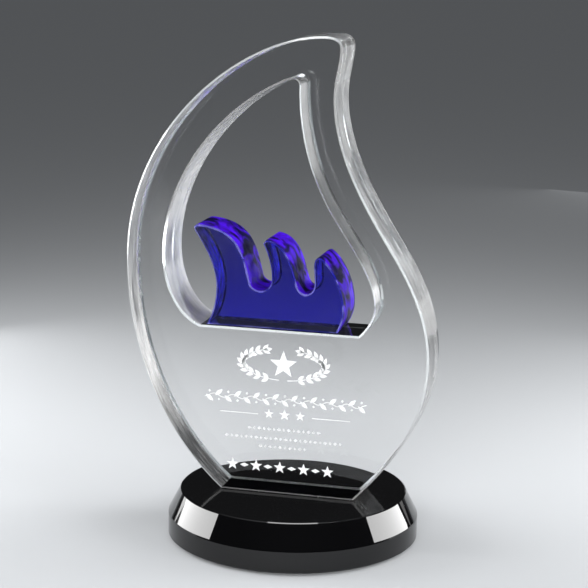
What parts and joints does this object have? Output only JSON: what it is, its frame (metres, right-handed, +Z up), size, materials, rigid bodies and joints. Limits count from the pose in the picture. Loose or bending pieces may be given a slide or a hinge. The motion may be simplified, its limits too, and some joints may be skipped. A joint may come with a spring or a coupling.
{
  "type": "crystal award",
  "caption": "Upright flame-shaped crystal award with a window holding blue crystal flames, standing on a round black crystal base; for display.",
  "frame": {"origin": "centre of the felt pad's underside, which is also the base disc's axis, on the surface the award stands on", "axes": "+Z up along the base disc's axis; +X across the plate to the viewer's right when its etched face is towards the viewer; +Y from the etched face to the back"},
  "size_m": [0.1584, 0.13, 0.2597],
  "materials": {
    "felt": "short black felt",
    "black_crystal": "opaque black crystal, polished",
    "adhesive": "thin clear adhesive film",
    "clear_crystal": "clear optical crystal, polished, front face lightly etched",
    "blue_crystal": "cobalt blue crystal, polished"
  },
  "bodies": {
    "root": {"felt_pad": "felt", "base_disc": "black_crystal", "plate_bond": "adhesive", "flame_plate": "clear_crystal", "flames_bond": "adhesive", "blue_flames": "blue_crystal"}
  },
  "joints": []
}
